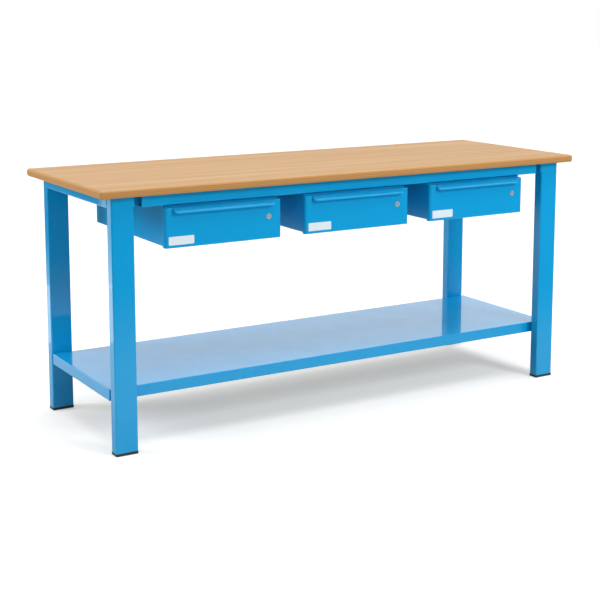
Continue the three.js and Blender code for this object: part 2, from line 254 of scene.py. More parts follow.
# A new material's node tree, its shader and the Object coordinates that its patterns read
def newMaterial(name):
    material = bpy.data.materials.new(name)
    material.use_nodes = True
    tree = material.node_tree
    coords = addNode(tree, "ShaderNodeTexCoord")
    return material, tree, tree.nodes["Principled BSDF"], coords.outputs["Object"]


# Powder coat on steel: an even blue skin, satin, with the faint ripple of the cured powder in its gloss
powderCoat = {"colour": "#00a2e0", "shade": "#009ddc", "roughness": 0.4, "glossSpread": (-0.03, 0.04),
              "specular": 0.1, "coat": 1.0, "coatRoughness": 0.05, "cloudMm": 90, "cloudDetail": 3.0,
              "cloudRange": (0.3, 0.7), "peelMm": 2.5, "peelDetail": 2.0, "bump": 0.01, "bumpMm": 0.2}


def makePowderCoat():
    material, tree, shader, where = newMaterial("blue powder coat")
    cloud = addNode(tree, "ShaderNodeTexNoise", {
        "Vector": where, "Scale": 1 / (powderCoat["cloudMm"] * mm), "Detail": powderCoat["cloudDetail"]})
    tint = addNode(tree, "ShaderNodeMix", {
        "Factor": cloud.outputs["Fac"], 6: linear(powderCoat["colour"]), 7: linear(powderCoat["shade"])},
        data_type="RGBA")
    gloss = addNode(tree, "ShaderNodeMapRange", {
        "Value": cloud.outputs["Fac"], "From Min": powderCoat["cloudRange"][0],
        "From Max": powderCoat["cloudRange"][1],
        "To Min": powderCoat["roughness"] + powderCoat["glossSpread"][0],
        "To Max": powderCoat["roughness"] + powderCoat["glossSpread"][1]})
    peel = addNode(tree, "ShaderNodeTexNoise", {
        "Vector": where, "Scale": 1 / (powderCoat["peelMm"] * mm), "Detail": powderCoat["peelDetail"]})
    bump = addNode(tree, "ShaderNodeBump", {
        "Height": peel.outputs["Fac"], "Strength": powderCoat["bump"],
        "Distance": powderCoat["bumpMm"] * mm})
    tree.links.new(tint.outputs[2], shader.inputs["Base Color"])
    tree.links.new(gloss.outputs["Result"], shader.inputs["Roughness"])
    tree.links.new(bump.outputs["Normal"], shader.inputs["Coat Normal"])
    shader.inputs["Specular IOR Level"].default_value = powderCoat["specular"]
    shader.inputs["Coat Weight"].default_value = powderCoat["coat"]
    shader.inputs["Coat Roughness"].default_value = powderCoat["coatRoughness"]
    return material


# Beech under a satin lacquer: long soft grain, short dark flecks, and a warmer, browner edge,
# partly the edge's own tone and partly painted shade on the board's side faces
beech = {"light": "#c8a16d", "dark": "#af814e", "fleck": "#946940", "edge": "#c08d50", "ply": "#a6733c",
         "roughness": 0.5, "glossSpread": (-0.06, 0.08), "bump": 0.12, "bumpMm": 0.3}
beechGrain = {"ringMm": 26, "ringDetail": 3.0, "ringBend": 0.4, "grainMm": 4.5, "grainDetail": 5.0,
              "grainRoughness": 0.65, "grainShare": 0.45, "stretch": 45, "toneRange": (0.36, 0.64)}
beechFlecks = {"widthMm": 1.4, "detail": 1.0, "squash": 0.12, "range": (0.64, 0.74), "strength": 0.35}
beechEdge = {"startMm": 5, "endMm": 1, "plies": 9, "plyRange": (-0.2, 0.4), "plyStrength": 0.5}


def makeBeech(low, high):
    material, tree, shader, where = newMaterial("lacquered beech")
    along = addNode(tree, "ShaderNodeMapping", {
        "Vector": where, "Scale": (1 / beechGrain["stretch"], 1.0, 1.0)})
    rings = addNode(tree, "ShaderNodeTexNoise", {
        "Vector": along.outputs["Vector"], "Scale": 1 / (beechGrain["ringMm"] * mm),
        "Detail": beechGrain["ringDetail"], "Distortion": beechGrain["ringBend"]})
    grain = addNode(tree, "ShaderNodeTexNoise", {
        "Vector": along.outputs["Vector"], "Scale": 1 / (beechGrain["grainMm"] * mm),
        "Detail": beechGrain["grainDetail"], "Roughness": beechGrain["grainRoughness"]})
    mixed = addNode(tree, "ShaderNodeMix", {
        "Factor": beechGrain["grainShare"], 2: rings.outputs["Fac"], 3: grain.outputs["Fac"]})
    tone = addNode(tree, "ShaderNodeMapRange", {
        "Value": mixed.outputs[0], "From Min": beechGrain["toneRange"][0],
        "From Max": beechGrain["toneRange"][1]})
    face = addNode(tree, "ShaderNodeMix", {
        "Factor": tone.outputs["Result"], 6: linear(beech["dark"]), 7: linear(beech["light"])},
        data_type="RGBA")
    # flecks are drawn coarser than the real ones, so that they show
    fleckSpace = addNode(tree, "ShaderNodeMapping", {
        "Vector": where, "Scale": (beechFlecks["squash"], 1.0, 1.0)})
    flecks = addNode(tree, "ShaderNodeTexNoise", {
        "Vector": fleckSpace.outputs["Vector"], "Scale": 1 / (beechFlecks["widthMm"] * mm),
        "Detail": beechFlecks["detail"]})
    fleckMask = addNode(tree, "ShaderNodeMapRange", {
        "Value": flecks.outputs["Fac"], "From Min": beechFlecks["range"][0],
        "From Max": beechFlecks["range"][1], "To Max": beechFlecks["strength"]})
    flecked = addNode(tree, "ShaderNodeMix", {
        "Factor": fleckMask.outputs["Result"], 6: face.outputs[2], 7: linear(beech["fleck"])},
        data_type="RGBA")
    # how far a point lies out towards the board's rim
    split = addNode(tree, "ShaderNodeSeparateXYZ", {"Vector": where})
    outward = []
    for axis, limit in (("X", high.x), ("Y", high.y)):
        off = addNode(tree, "ShaderNodeMath", {0: split.outputs[axis]}, operation="ABSOLUTE")
        outward.append(addNode(tree, "ShaderNodeMapRange", {
            "Value": off.outputs[0], "From Min": limit - beechEdge["startMm"] * mm,
            "From Max": limit - beechEdge["endMm"] * mm}).outputs["Result"])
    rim = addNode(tree, "ShaderNodeMath", {0: outward[0], 1: outward[1]}, operation="MAXIMUM")
    layer = addNode(tree, "ShaderNodeMath", {
        0: split.outputs["Z"], 1: beechEdge["plies"] * math.pi / (high.z - low.z)}, operation="MULTIPLY")
    wave = addNode(tree, "ShaderNodeMath", {0: layer.outputs[0]}, operation="SINE")
    plies = addNode(tree, "ShaderNodeMapRange", {
        "Value": wave.outputs[0], "From Min": beechEdge["plyRange"][0],
        "From Max": beechEdge["plyRange"][1], "To Min": 0.0, "To Max": beechEdge["plyStrength"]})
    # the rim's browner edge colour is partly the wood's own edge tone and partly painted shade
    edge = addNode(tree, "ShaderNodeMix", {
        "Factor": plies.outputs["Result"], 6: linear(beech["edge"]), 7: linear(beech["ply"])},
        data_type="RGBA")
    colour = addNode(tree, "ShaderNodeMix", {
        "Factor": rim.outputs[0], 6: flecked.outputs[2], 7: edge.outputs[2]}, data_type="RGBA")
    gloss = addNode(tree, "ShaderNodeMapRange", {
        "Value": grain.outputs["Fac"], "To Min": beech["roughness"] + beech["glossSpread"][0],
        "To Max": beech["roughness"] + beech["glossSpread"][1]})
    bump = addNode(tree, "ShaderNodeBump", {
        "Height": grain.outputs["Fac"], "Strength": beech["bump"], "Distance": beech["bumpMm"] * mm})
    tree.links.new(colour.outputs[2], shader.inputs["Base Color"])
    tree.links.new(gloss.outputs["Result"], shader.inputs["Roughness"])
    tree.links.new(bump.outputs["Normal"], shader.inputs["Normal"])
    return material


# Zinc-plated steel: bluish bright metal with a fine drawn grain and cloudy patches from the bath
zinc = {"colour": "#d3d7da", "patch": "#bcc2c7", "roughness": 0.34, "glossSpread": (-0.1, 0.1),
        "patchMm": 35, "patchDetail": 4.0, "drawnMm": 0.6, "drawnDetail": 2.0, "drawnSquash": 0.02,
        "bump": 0.06, "bumpMm": 0.2}


def makeZinc():
    material, tree, shader, where = newMaterial("zinc plated steel")
    patch = addNode(tree, "ShaderNodeTexNoise", {
        "Vector": where, "Scale": 1 / (zinc["patchMm"] * mm), "Detail": zinc["patchDetail"]})
    tint = addNode(tree, "ShaderNodeMix", {
        "Factor": patch.outputs["Fac"], 6: linear(zinc["colour"]), 7: linear(zinc["patch"])},
        data_type="RGBA")
    along = addNode(tree, "ShaderNodeMapping", {"Vector": where, "Scale": (1.0, zinc["drawnSquash"], 1.0)})
    drawn = addNode(tree, "ShaderNodeTexNoise", {
        "Vector": along.outputs["Vector"], "Scale": 1 / (zinc["drawnMm"] * mm),
        "Detail": zinc["drawnDetail"]})
    gloss = addNode(tree, "ShaderNodeMapRange", {
        "Value": drawn.outputs["Fac"], "To Min": zinc["roughness"] + zinc["glossSpread"][0],
        "To Max": zinc["roughness"] + zinc["glossSpread"][1]})
    bump = addNode(tree, "ShaderNodeBump", {
        "Height": drawn.outputs["Fac"], "Strength": zinc["bump"], "Distance": zinc["bumpMm"] * mm})
    tree.links.new(tint.outputs[2], shader.inputs["Base Color"])
    tree.links.new(gloss.outputs["Result"], shader.inputs["Roughness"])
    tree.links.new(bump.outputs["Normal"], shader.inputs["Normal"])
    shader.inputs["Metallic"].default_value = 1.0
    return material


# Satin nickel on a die-cast lock: soft pale metal whose fine brushing shows only as a soft, uneven gloss
nickel = {"colour": "#d3e6f0", "metallic": 0.7, "roughness": 0.5, "glossSpread": (-0.08, 0.1),
          "scratchMm": 0.8, "scratchDetail": 4.0}


def makeNickel():
    material, tree, shader, where = newMaterial("satin nickel plate")
    scratch = addNode(tree, "ShaderNodeTexNoise", {
        "Vector": where, "Scale": 1 / (nickel["scratchMm"] * mm), "Detail": nickel["scratchDetail"]})
    gloss = addNode(tree, "ShaderNodeMapRange", {
        "Value": scratch.outputs["Fac"], "To Min": nickel["roughness"] + nickel["glossSpread"][0],
        "To Max": nickel["roughness"] + nickel["glossSpread"][1]})
    tree.links.new(gloss.outputs["Result"], shader.inputs["Roughness"])
    shader.inputs["Base Color"].default_value = linear(nickel["colour"])
    shader.inputs["Metallic"].default_value = nickel["metallic"]
    return material


# Moulded polyethylene: dull black with a fine spark-eroded skin
feetPlastic = {"colour": "#262c30", "dust": "#363d42", "roughness": 0.55, "sparkMm": 0.7,
               "sparkDetail": 2.0, "bump": 0.2, "bumpMm": 0.2}


def makeFeetPlastic():
    material, tree, shader, where = newMaterial("moulded polyethylene")
    spark = addNode(tree, "ShaderNodeTexNoise", {
        "Vector": where, "Scale": 1 / (feetPlastic["sparkMm"] * mm), "Detail": feetPlastic["sparkDetail"]})
    tint = addNode(tree, "ShaderNodeMix", {
        "Factor": spark.outputs["Fac"], 6: linear(feetPlastic["colour"]), 7: linear(feetPlastic["dust"])},
        data_type="RGBA")
    bump = addNode(tree, "ShaderNodeBump", {
        "Height": spark.outputs["Fac"], "Strength": feetPlastic["bump"],
        "Distance": feetPlastic["bumpMm"] * mm})
    tree.links.new(tint.outputs[2], shader.inputs["Base Color"])
    tree.links.new(bump.outputs["Normal"], shader.inputs["Normal"])
    shader.inputs["Roughness"].default_value = feetPlastic["roughness"]
    return material


# Vinyl label film: cool white, smooth, faintly mottled where the glue holds it
labelFilm = {"colour": "#e4f1f8", "mottle": "#d6e8f2", "roughness": 0.35, "mottleMm": 6,
             "mottleDetail": 2.0}


def makeLabelFilm():
    material, tree, shader, where = newMaterial("white vinyl film")
    mottle = addNode(tree, "ShaderNodeTexNoise", {
        "Vector": where, "Scale": 1 / (labelFilm["mottleMm"] * mm), "Detail": labelFilm["mottleDetail"]})
    tint = addNode(tree, "ShaderNodeMix", {
        "Factor": mottle.outputs["Fac"], 6: linear(labelFilm["colour"]), 7: linear(labelFilm["mottle"])},
        data_type="RGBA")
    tree.links.new(tint.outputs[2], shader.inputs["Base Color"])
    shader.inputs["Roughness"].default_value = labelFilm["roughness"]
    return material


boardLow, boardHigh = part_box("worktop")
paint = makePowderCoat()
wood = makeBeech(boardLow, boardHigh)
plated = makeZinc()
satin = makeNickel()
plastic = makeFeetPlastic()
film = makeLabelFilm()
print("materials made")


# What counts in a mesh as one point, as a sharp edge, as a fold (in radians), as lying on a plane, and as a
# face across an axis
meshing = {"mergeMm": 0.001, "sharpDegrees": 40, "foldAngle": 1.0, "touchMm": 0.1, "across": 0.9}
touch = meshing["touchMm"] * mm


# Turns a bmesh into a piece that rides on a body, in place of the CAD nodes that it stands for
def addPiece(name, bm, material, body, slot, *nodes):
    bmesh.ops.remove_doubles(bm, verts=bm.verts[:], dist=meshing["mergeMm"] * mm)
    bmesh.ops.recalc_face_normals(bm, faces=bm.faces[:])
    data = bpy.data.meshes.new(name)
    bm.to_mesh(data)
    bm.free()
    data.shade_smooth()
    data.set_sharp_from_angle(angle=math.radians(meshing["sharpDegrees"]))
    data.materials.append(material)
    piece = bpy.data.objects.new(name, data)
    bpy.context.scene.collection.objects.link(piece)
    if nodes:
        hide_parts(*nodes)
    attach(piece, body)
    # wide flat faces keep their own shading beside the narrow strips of a rounded edge
    even = piece.modifiers.new("even shading", "WEIGHTED_NORMAL")
    even.keep_sharp = True


# The vertices, edges or faces that an extrusion made
def madeParts(result, kind):
    return [part for part in result["geom"] if isinstance(part, kind)]


def movedVerts(result):
    return madeParts(result, bmesh.types.BMVert)


# Edges and faces drawn out along a vector
def drawEdges(bm, edges, vec):
    drawn = bmesh.ops.extrude_edge_only(bm, edges=edges)
    bmesh.ops.translate(bm, verts=movedVerts(drawn), vec=vec)
    return drawn


def drawFaces(bm, faces, vec):
    drawn = bmesh.ops.extrude_face_region(bm, geom=faces)
    bmesh.ops.translate(bm, verts=movedVerts(drawn), vec=vec)
    return drawn


def roundEdges(bm, edges, radius, segments=4):
    bmesh.ops.bevel(bm, geom=edges, offset=radius, offset_type="OFFSET", segments=segments, profile=0.5,
                    affect="EDGES", material=-1, clamp_overlap=True)


def roundCorners(bm, corners, radius, segments=5):
    bmesh.ops.bevel(bm, geom=corners, offset=radius, offset_type="OFFSET", segments=segments, profile=0.5,
                    affect="VERTICES", material=-1)


# Edges where two faces meet at an angle
def foldEdges(bm, leastAngle=0.0):
    bm.normal_update()
    return [edge for edge in bm.edges if len(edge.link_faces) == 2 and edge.calc_face_angle() >= leastAngle]


# A flat face through a few corners, added to a bmesh
def addFlatFace(bm, spots):
    corners = [bm.verts.new(spot) for spot in spots]
    bm.faces.new(corners)
    return corners


# A box with all its edges rounded, added to a bmesh
def addRoundBox(bm, low, high, radius, segments=3):
    size = high - low
    place = Matrix.Translation((low + high) / 2) @ Matrix.Diagonal((*size, 1))
    corners = bmesh.ops.create_cube(bm, size=1, matrix=place)["verts"]
    edges = list({edge for corner in corners for edge in corner.link_edges})
    roundEdges(bm, edges, radius, segments)


# A flat face across one axis with rounded corners, at the low end of a box
def addRoundFace(bm, low, high, axis, radius):
    first, second = [i for i in range(3) if i != axis]
    spots = []
    for one, other in ((low, low), (high, low), (high, high), (low, high)):
        spot = low.copy()
        spot[first] = one[first]
        spot[second] = other[second]
        spots.append(spot)
    roundCorners(bm, addFlatFace(bm, spots), radius)


# Rectangular tube along one axis, open at its ends, with its wall
def rectTube(low, high, axis, wall, radius):
    bm = bmesh.new()
    addRoundFace(bm, low, high, axis, radius)
    length = Vector((0, 0, 0))
    length[axis] = high[axis] - low[axis]
    drawFaces(bm, bm.faces[:], length)
    bm.normal_update()
    ends = [face for face in bm.faces if abs(face.normal[axis]) > meshing["across"]]
    bmesh.ops.delete(bm, geom=ends, context="FACES_ONLY")
    bmesh.ops.recalc_face_normals(bm, faces=bm.faces[:])
    bmesh.ops.solidify(bm, geom=bm.faces[:], thickness=wall)
    return bm


# Bent sheet: a line of points across one axis drawn along it, its folds rounded, then given its thickness
def foldedSheet(points, axis, start, end, thickness, radius):
    bm = bmesh.new()
    chain = []
    for first, second in points:
        spot = [first, second]
        spot.insert(axis, start)
        chain.append(bm.verts.new(spot))
    for one, other in zip(chain, chain[1:]):
        bm.edges.new((one, other))
    length = Vector((0, 0, 0))
    length[axis] = end - start
    drawEdges(bm, bm.edges[:], length)
    bmesh.ops.recalc_face_normals(bm, faces=bm.faces[:])
    roundEdges(bm, foldEdges(bm), radius)
    bmesh.ops.solidify(bm, geom=bm.faces[:], thickness=thickness)
    return bm


# Adds another bmesh's shape to a bmesh
def addShape(bm, shape):
    data = bpy.data.meshes.new("shape")
    shape.to_mesh(data)
    shape.free()
    bm.from_mesh(data)
    bpy.data.meshes.remove(data)


# A hexagon bolt head on its washer, seated on a face and pointing out of it
bolt = {"flatsMm": 10, "headMm": 5, "washerMm": 7.5, "washerThickMm": 1.2, "washerSteps": 24, "edgeMm": 0.5,
        "edgeSteps": 2}
hexSides = 6


def addBolt(bm, seat, outward, size=1.0):
    shape = bmesh.new()
    thick = bolt["washerThickMm"] * mm * size
    head = bolt["headMm"] * mm * size
    corner = bolt["flatsMm"] * mm * size / math.sqrt(3)
    washer = bolt["washerMm"] * mm * size
    bmesh.ops.create_cone(shape, cap_ends=True, segments=bolt["washerSteps"], radius1=washer,
                          radius2=washer, depth=thick, matrix=Matrix.Translation((0, 0, thick / 2)))
    bmesh.ops.create_cone(shape, cap_ends=True, segments=hexSides, radius1=corner, radius2=corner,
                          depth=head, matrix=Matrix.Translation((0, 0, thick + head / 2)))
    rims = [edge for edge in shape.edges if all(vert.co.z > thick - touch for vert in edge.verts)]
    roundEdges(shape, rims, bolt["edgeMm"] * mm * size, bolt["edgeSteps"])
    turn = outward.to_track_quat("Z", "Y").to_matrix().to_4x4()
    bmesh.ops.transform(shape, matrix=Matrix.Translation(seat) @ turn, verts=shape.verts[:])
    addShape(bm, shape)


# A weld bead: a round bar drawn out in short steps that swell and shrink
weld = {"beadMm": 2.6, "rippleMm": 3, "sides": 10, "leastSteps": 4, "tip": 0.6, "swell": 1.12,
        "waist": 0.92}


def addWeldBead(bm, start, end):
    run = end - start
    radius = weld["beadMm"] * mm
    steps = max(weld["leastSteps"], round(run.length / (weld["rippleMm"] * mm)))
    bead = bmesh.new()
    turn = Matrix.Translation(start) @ run.to_track_quat("Z", "Y").to_matrix().to_4x4()
    bmesh.ops.create_circle(bead, cap_ends=True, segments=weld["sides"], radius=weld["tip"] * radius,
                            matrix=turn)
    tip = bead.faces[:]
    for step in range(steps):
        drawn = drawFaces(bead, tip, run / steps)
        # the face that the last step ended in would be left inside the bead
        if step:
            bmesh.ops.delete(bead, geom=tip, context="FACES_ONLY")
        tip = madeParts(drawn, bmesh.types.BMFace)
        middle = start + run * (step + 1) / steps
        width = weld["swell"] if step % 2 else weld["waist"]
        if step == steps - 1:
            width = weld["tip"]
        for vert in movedVerts(drawn):
            vert.co = middle + (vert.co - middle).normalized() * width * radius
    bmesh.ops.recalc_face_normals(bead, faces=bead.faces[:])
    addShape(bm, bead)


# Worktop: one thick board, its long and short edges eased by hand
board = {"edgeMm": 9, "steps": 8}


def makeBoard():
    bm = bmesh.new()
    addRoundBox(bm, boardLow, boardHigh, board["edgeMm"] * mm, board["steps"])
    addPiece("worktop_board", bm, wood, "frame", "worktop_beech", "worktop")


makeBoard()
print("worktop made")


# Legs and crossbars of rectangular tube
tubes = {"wallMm": 2, "cornerMm": 5, "beadInsetMm": 6}


def makeLeg(row, side):
    low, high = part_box(f"leg_{row}_{side}")
    bm = rectTube(low, high, alongZ, tubes["wallMm"] * mm, tubes["cornerMm"] * mm)
    addPiece(f"leg_tube_{row}_{side}", bm, paint, "frame", "frame_paint", f"leg_{row}_{side}")


# Foot cap: a flat pad under the leg, and a plug that grips inside it
footCap = {"edgeMm": 1.5, "plugWallMm": 2.3, "lapMm": 2}


def makeFoot(row, side):
    legLow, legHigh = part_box(f"leg_{row}_{side}")
    low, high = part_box(f"foot_{row}_{side}")
    edge = footCap["edgeMm"] * mm
    bm = bmesh.new()
    addRoundBox(bm, low, Vector((high.x, high.y, legLow.z)), edge)
    inset = Vector((footCap["plugWallMm"] * mm, footCap["plugWallMm"] * mm, 0))
    plugLow = Vector((legLow.x, legLow.y, legLow.z - footCap["lapMm"] * mm)) + inset
    plugHigh = Vector((legHigh.x, legHigh.y, high.z)) - inset
    addRoundBox(bm, plugLow, plugHigh, edge)
    addPiece(f"foot_cap_{row}_{side}", bm, plastic, "frame", "foot_plastic", f"foot_{row}_{side}")


def makeCrossbar(level, side):
    low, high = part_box(f"crossbar_{level}_{side}")
    bm = rectTube(low, high, alongY, tubes["wallMm"] * mm, tubes["cornerMm"] * mm)
    addPiece(f"crossbar_tube_{level}_{side}", bm, paint, "frame", "frame_paint", f"crossbar_{level}_{side}")


# Beads down the top bar's inner side and along its underside, at both legs
def makeEndWelds(side):
    low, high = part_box(f"crossbar_top_{side}")
    inner = high.x if side == "left" else low.x
    inset = tubes["beadInsetMm"] * mm
    bm = bmesh.new()
    for end in (low.y, high.y):
        addWeldBead(bm, Vector((inner, end, high.z - inset)), Vector((inner, end, low.z)))
        addWeldBead(bm, Vector((low.x + inset, end, low.z)), Vector((high.x - inset, end, low.z)))
    addPiece(f"weld_beads_{side}", bm, paint, "frame", "frame_paint")


for sideName in sides:
    for rowName in rows:
        makeLeg(rowName, sideName)
        makeFoot(rowName, sideName)
    makeCrossbar("top", sideName)
    makeCrossbar("low", sideName)
    makeEndWelds(sideName)
print("legs and crossbars made")


# Rails of lipped channel, open towards the middle of the bench
railSheet = {"sheetMm": 2, "lipMm": 9, "foldMm": 4}


def makeRail(row, inward):
    low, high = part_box(f"rail_{row}")
    web, mouth = (low.y, high.y) if inward > 0 else (high.y, low.y)
    lip = railSheet["lipMm"] * mm
    bm = foldedSheet([(mouth, high.z - lip), (mouth, high.z), (web, high.z), (web, low.z), (mouth, low.z),
                      (mouth, low.z + lip)], alongX, low.x, high.x, railSheet["sheetMm"] * mm,
                     railSheet["foldMm"] * mm)
    addPiece(f"rail_channel_{row}", bm, paint, "frame", "frame_paint", f"rail_{row}")


# Angle brackets, welded to the legs along their outer edge and bolted to the rails
bracket = {"sheetMm": 4, "foldMm": 6, "beadEndMm": 4, "boltShares": (0.21, 0.525)}


def makeBracket(row, side, inward):
    name = f"{row}_{side}"
    low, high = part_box(f"rail_bracket_{name}")
    legFace, reach = (low.x, high.x) if side == "left" else (high.x, low.x)
    outer, inner = (low.y, high.y) if inward > 0 else (high.y, low.y)
    bm = foldedSheet([(legFace, outer), (legFace, inner), (reach, inner)], alongZ, low.z, high.z,
                     bracket["sheetMm"] * mm, bracket["foldMm"] * mm)
    beadEnd = Vector((0, 0, bracket["beadEndMm"] * mm))
    addWeldBead(bm, Vector((legFace, outer, high.z)) - beadEnd, Vector((legFace, outer, low.z)) + beadEnd)
    addPiece(f"bracket_angle_{name}", bm, paint, "frame", "frame_paint", f"rail_bracket_{name}")
    bm = bmesh.new()
    for share in bracket["boltShares"]:
        seat = Vector((reach + share * (legFace - reach), inner, (low.z + high.z) / 2))
        addBolt(bm, seat, Vector((0, inward, 0)))
    addPiece(f"bracket_bolts_{name}", bm, plated, "frame", "zinc_steel")


for rowName, towardsMiddle in rows.items():
    makeRail(rowName, towardsMiddle)
    for sideName in sides:
        makeBracket(rowName, sideName, towardsMiddle)
print("rails made")


# Shelf: a sheet folded down and hemmed all round, notched for the crossbars
shelfPan = {"sheetMm": 1.5, "hemMm": 15, "foldMm": 3, "notchMm": 1}


# Splits an edge at places along one axis
def splitEdge(edge, axis, spots):
    start = min(edge.verts, key=lambda vert: vert.co[axis])
    for spot in sorted(spots):
        far = edge.other_vert(start)
        share = (spot - start.co[axis]) / (far.co[axis] - start.co[axis])
        edge, start = bmesh.utils.edge_split(edge, start, share)
        if edge.other_vert(start).co[axis] < start.co[axis]:
            edge = [near for near in start.link_edges
                    if near.other_vert(start).co[axis] > start.co[axis]][0]


def makeShelf():
    low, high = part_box("shelf")
    barLow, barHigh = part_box("crossbar_low_right")
    gap = shelfPan["notchMm"] * mm
    notch = (barLow.x - gap, barHigh.x + gap)
    bm = bmesh.new()
    addFlatFace(bm, ((low.x, low.y, high.z), (high.x, low.y, high.z), (high.x, high.y, high.z),
                     (low.x, high.y, high.z)))
    for edge in [edge for edge in bm.edges if abs(edge.verts[0].co.y - edge.verts[1].co.y) < mm]:
        splitEdge(edge, alongX, (-notch[1], -notch[0], notch[0], notch[1]))
    rims = []
    for edge in bm.edges:
        middle = (edge.verts[0].co + edge.verts[1].co) / 2
        onLongSide = abs(abs(middle.y) - high.y) < mm
        if not (onLongSide and notch[0] < abs(middle.x) < notch[1]):
            rims.append(edge)
    drawn = drawEdges(bm, rims, (0, 0, low.z - high.z))
    lower = [edge for edge in madeParts(drawn, bmesh.types.BMEdge)
             if all(vert.co.z < low.z + mm for vert in edge.verts)]
    drawn = bmesh.ops.extrude_edge_only(bm, edges=lower)
    hem = shelfPan["hemMm"] * mm
    for vert in movedVerts(drawn):
        if abs(vert.co.x) > high.x - mm:
            vert.co.x -= math.copysign(hem, vert.co.x)
        if abs(vert.co.y) > high.y - mm:
            vert.co.y -= math.copysign(hem, vert.co.y)
    bmesh.ops.recalc_face_normals(bm, faces=bm.faces[:])
    roundEdges(bm, foldEdges(bm, meshing["foldAngle"]), shelfPan["foldMm"] * mm)
    bmesh.ops.solidify(bm, geom=bm.faces[:], thickness=shelfPan["sheetMm"] * mm)
    addPiece("shelf_pan", bm, paint, "frame", "frame_paint", "shelf")


# Hat section that stiffens the shelf from below
hat = {"sheetMm": 1.5, "brimMm": 16, "slopeMm": 5, "foldMm": 3}


def makeHat():
    low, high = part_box("shelf_stiffener")
    sheet = hat["sheetMm"] * mm
    brim = hat["brimMm"] * mm
    foot = brim + hat["slopeMm"] * mm
    bottom = low.z + sheet
    bm = foldedSheet([(low.y, high.z), (low.y + brim, high.z), (low.y + foot, bottom),
                      (high.y - foot, bottom), (high.y - brim, high.z), (high.y, high.z)],
                     alongX, low.x, high.x, sheet, hat["foldMm"] * mm)
    addPiece("shelf_hat", bm, paint, "frame", "frame_paint", "shelf_stiffener")


makeShelf()
makeHat()
print("shelf made")


# Drawer housing: a sleeve of sheet hung from the rails, with a catch lip in front and a tab at the back
housing = {"sheetMm": 1.5, "lipMm": 15, "foldMm": 3, "backGapMm": 8, "catchMm": 17, "catchTopMm": 12,
           "tabMm": 300, "tabLapMm": 20, "tabEdgeMm": 0.4, "tabEdgeSteps": 2}


def makeHousing(drawer):
    low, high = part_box(f"{drawer}_housing")
    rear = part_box("rail_rear")[0].y - housing["backGapMm"] * mm
    lip = housing["lipMm"] * mm
    sheet = housing["sheetMm"] * mm
    fold = housing["foldMm"] * mm
    bm = foldedSheet([(low.x + lip, low.z), (low.x, low.z), (low.x, high.z), (high.x, high.z),
                      (high.x, low.z), (high.x - lip, low.z)], alongY, low.y, rear, sheet, fold)
    under = high.z - sheet
    catch = foldedSheet([(low.y + housing["catchTopMm"] * mm, under), (low.y, under),
                         (low.y, high.z - housing["catchMm"] * mm)],
                        alongX, low.x + fold, high.x - fold, sheet, fold)
    addShape(bm, catch)
    middle = (low.x + high.x) / 2
    half = housing["tabMm"] * mm / 2
    tab = bmesh.new()
    addRoundBox(tab, Vector((middle - half, rear - housing["tabLapMm"] * mm, under - sheet)),
                Vector((middle + half, high.y, under)), housing["tabEdgeMm"] * mm, housing["tabEdgeSteps"])
    addShape(bm, tab)
    addPiece(f"{drawer}_case", bm, paint, "frame", "frame_paint", f"{drawer}_housing")


# Drawer tray: a floor and three walls, open towards the front
trayPan = {"sheetMm": 1.2, "foldMm": 2.5}


def makeTray(drawer):
    low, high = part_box(f"{drawer}_tray")
    bm = bmesh.new()
    addFlatFace(bm, ((low.x, low.y, low.z), (high.x, low.y, low.z), (high.x, high.y, low.z),
                     (low.x, high.y, low.z)))
    walls = [edge for edge in bm.edges if any(vert.co.y > high.y - mm for vert in edge.verts)]
    drawEdges(bm, walls, (0, 0, high.z - low.z))
    bmesh.ops.recalc_face_normals(bm, faces=bm.faces[:])
    roundEdges(bm, foldEdges(bm), trayPan["foldMm"] * mm)
    bmesh.ops.solidify(bm, geom=bm.faces[:], thickness=trayPan["sheetMm"] * mm)
    addPiece(f"{drawer}_box", bm, plated, drawer, "zinc_steel", f"{drawer}_tray")


# Drawer front: a folded pan closed by a plate, its upright edges bent round a wide former
frontPan = {"sheetMm": 1.5, "depthMm": 18, "sideFoldMm": 11, "sideSteps": 8, "foldMm": 3, "foldSteps": 5,
            "plateMarginMm": 1.5, "plateLapMm": 0.45, "plateEdgeMm": 0.3, "plateEdgeSteps": 2}


def makeFront(drawer):
    low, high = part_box(f"{drawer}_front")
    depth = frontPan["depthMm"] * mm
    bm = bmesh.new()
    addFlatFace(bm, ((low.x, low.y, low.z), (high.x, low.y, low.z), (high.x, low.y, high.z),
                     (low.x, low.y, high.z)))
    drawEdges(bm, bm.edges[:], (0, depth, 0))
    bmesh.ops.recalc_face_normals(bm, faces=bm.faces[:])
    uprights = [edge for edge in bm.edges if all(vert.co.y < low.y + mm for vert in edge.verts)
                and abs(edge.verts[0].co.x - edge.verts[1].co.x) < mm]
    roundEdges(bm, uprights, frontPan["sideFoldMm"] * mm, frontPan["sideSteps"])
    roundEdges(bm, foldEdges(bm, meshing["foldAngle"]), frontPan["foldMm"] * mm, frontPan["foldSteps"])
    bmesh.ops.solidify(bm, geom=bm.faces[:], thickness=frontPan["sheetMm"] * mm)
    margin = Vector((frontPan["plateMarginMm"] * mm, 0, frontPan["plateMarginMm"] * mm))
    seat = low.y + depth - frontPan["plateLapMm"] * mm
    plate = bmesh.new()
    addRoundBox(plate, Vector((low.x, seat, low.z)) + margin, high - margin, frontPan["plateEdgeMm"] * mm,
                frontPan["plateEdgeSteps"])
    addShape(bm, plate)
    addPiece(f"{drawer}_face", bm, paint, drawer, "frame_paint", f"{drawer}_front")


# Screws on the plate's inner side, four to a front
frontScrews = {"apartMm": 340, "shiftMm": -12, "lowMm": 25, "topMm": 15, "size": 0.7}


